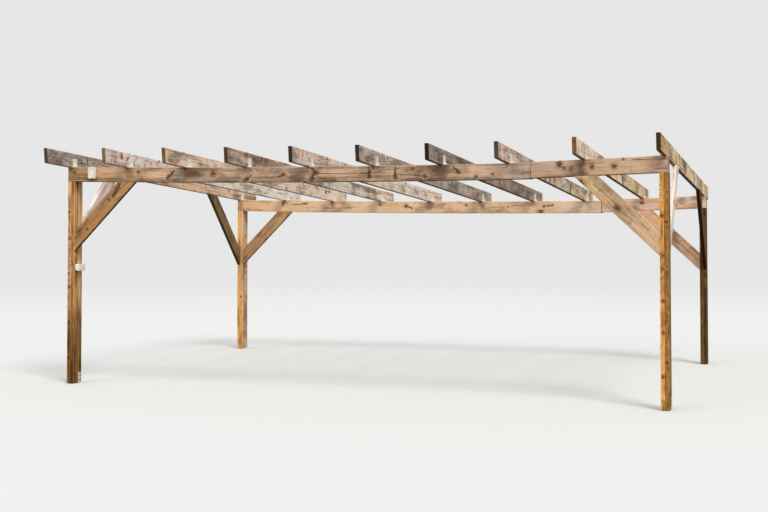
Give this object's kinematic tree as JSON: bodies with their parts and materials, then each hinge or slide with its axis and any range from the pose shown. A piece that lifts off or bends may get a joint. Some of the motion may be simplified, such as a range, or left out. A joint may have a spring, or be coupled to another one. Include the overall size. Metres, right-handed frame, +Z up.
{
  "type": "garden pergola",
  "caption": "Open timber garden pergola with sloping rafters on two spliced beams, doubled posts and knee braces; shades a seating area.",
  "frame": {"origin": "middle of the bounding box on the floor, under the straps of the posts", "axes": "+X along the two beams from the left post to the right post, +Y from the higher open front to the lower back, +Z up"},
  "size_m": [7.03, 5.705, 2.7667],
  "materials": {
    "post_timber": "planed, weathered",
    "beam_timber": "planed, weathered",
    "rafter_timber": "planed, greyed",
    "brace_timber": "planed, weathered",
    "galvanised": "dull hot-dip zinc",
    "white_plastic": "satin"
  },
  "bodies": {
    "root": {"post_front_left": "post_timber", "foot_front_left": "galvanised", "front_beam_left": "beam_timber", "beam_brace_front_left": "brace_timber", "side_brace_front_left": "brace_timber", "post_front_right": "post_timber", "foot_front_right": "galvanised", "front_beam_right": "beam_timber", "beam_brace_front_right": "brace_timber", "side_brace_front_right": "brace_timber", "front_angles": "galvanised", "post_rear_left": "post_timber", "foot_rear_left": "galvanised", "rear_beam_left": "beam_timber", "beam_brace_rear_left": "brace_timber", "side_brace_rear_left": "brace_timber", "post_rear_right": "post_timber", "foot_rear_right": "galvanised", "rear_beam_right": "beam_timber", "beam_brace_rear_right": "brace_timber", "side_brace_rear_right": "brace_timber", "rear_angles": "galvanised", "rafter_01": "rafter_timber", "rafter_02": "rafter_timber", "rafter_03": "rafter_timber", "rafter_04": "rafter_timber", "rafter_05": "rafter_timber", "rafter_06": "rafter_timber", "rafter_07": "rafter_timber", "rafter_08": "rafter_timber", "rafter_09": "rafter_timber", "rafter_10": "rafter_timber", "light_box": "white_plastic", "socket_box": "white_plastic"}
  },
  "joints": []
}
